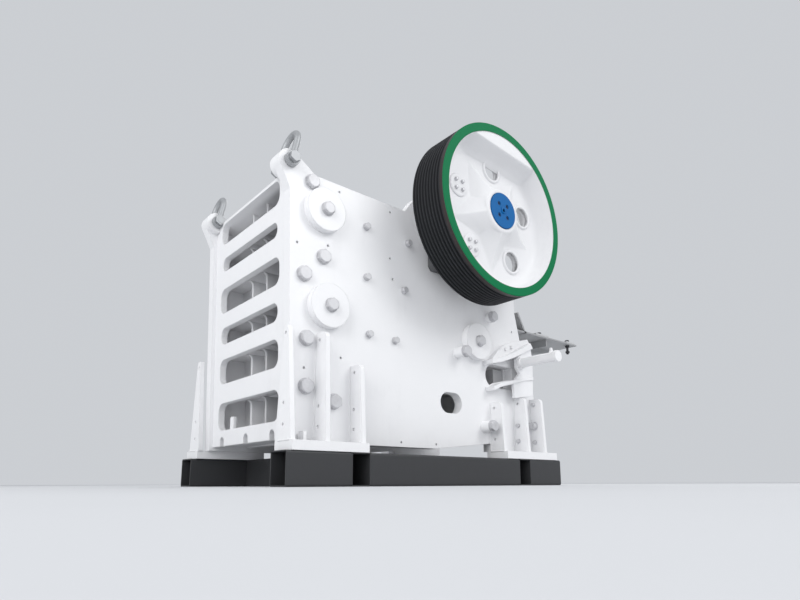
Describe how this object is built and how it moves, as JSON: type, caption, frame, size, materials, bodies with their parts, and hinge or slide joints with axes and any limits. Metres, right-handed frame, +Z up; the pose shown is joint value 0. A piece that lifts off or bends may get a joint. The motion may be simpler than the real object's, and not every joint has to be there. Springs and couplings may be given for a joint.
{
  "type": "jaw crusher on a tube skid",
  "caption": "Jaw crusher with bolted side plates, windowed front wall, toothed jaws and two flywheels, standing on a tube skid.",
  "frame": {"origin": "middle of the whole machine's footprint, on the floor under the skid", "axes": "+X towards the grooved flywheel, -Y towards the windowed front wall, +Z up"},
  "size_m": [2.31, 3.484, 2.754],
  "materials": {
    "white_paint": "gloss enamel over castings and plate",
    "skid_paint": "satin near-black paint",
    "wheel": "rim dark, face band green, web white",
    "bright_steel": "zinc plated",
    "manganese": "cast manganese steel",
    "grey_paint": "grey primer",
    "blue_paint": "gloss blue",
    "spring_paint": "red paint"
  },
  "bodies": {
    "root": {"rail_right": "skid_paint", "rail_left": "skid_paint", "cross_tube_front": "skid_paint", "cross_tube_rear": "skid_paint", "side_plate_right": "white_paint", "side_plate_left": "white_paint", "front_wall": "white_paint", "rear_wall": "white_paint", "front_foot_right": "white_paint", "front_foot_left": "white_paint", "rear_foot_right": "white_paint", "rear_foot_left": "white_paint", "cover_discs_right": "white_paint", "cover_discs_left": "white_paint", "frame_bolts_right": "bright_steel", "frame_bolts_left": "bright_steel", "cheek_plates_right": "manganese", "cheek_plates_left": "manganese", "cheek_bolts_right": "bright_steel", "cheek_bolts_left": "bright_steel", "fixed_jaw_plate": "manganese", "swing_jaw": "white_paint", "swing_jaw_plate": "manganese", "toggle_plate": "manganese", "adjusting_wedge": "manganese", "cylinder_bracket_right": "white_paint", "cylinder_bracket_left": "white_paint", "adjusting_cylinder_right": "white_paint", "adjusting_cylinder_left": "white_paint", "tension_rod": "bright_steel", "return_spring": "spring_paint", "motor_bracket": "grey_paint", "bearing_housing_right": "grey_paint", "bearing_housing_left": "grey_paint"},
    "rotor": {"eccentric_shaft": "bright_steel", "flywheel_right": "wheel", "flywheel_left": "wheel", "hub_cover_right": "blue_paint", "hub_cover_left": "blue_paint"},
    "shackle_right_body": {"shackle_right": "bright_steel", "shackle_pin_right": "bright_steel"},
    "shackle_left_body": {"shackle_left": "bright_steel", "shackle_pin_left": "bright_steel"}
  },
  "joints": [
    {"name": "rotor_spin", "type": "hinge", "parent": "root", "child": "rotor", "pos_m": [0, -0.081, 2.077], "axis": [1, 0, 0], "continuous": true},
    {"name": "shackle_right_swing", "type": "hinge", "parent": "root", "child": "shackle_right_body", "pos_m": [0.5905, -1.66, 2.103], "axis": [1, 0, 0], "range_deg": [-65, 180]},
    {"name": "shackle_left_swing", "type": "hinge", "parent": "root", "child": "shackle_left_body", "pos_m": [-0.5905, -1.66, 2.103], "axis": [1, 0, 0], "range_deg": [-65, 180]}
  ]
}
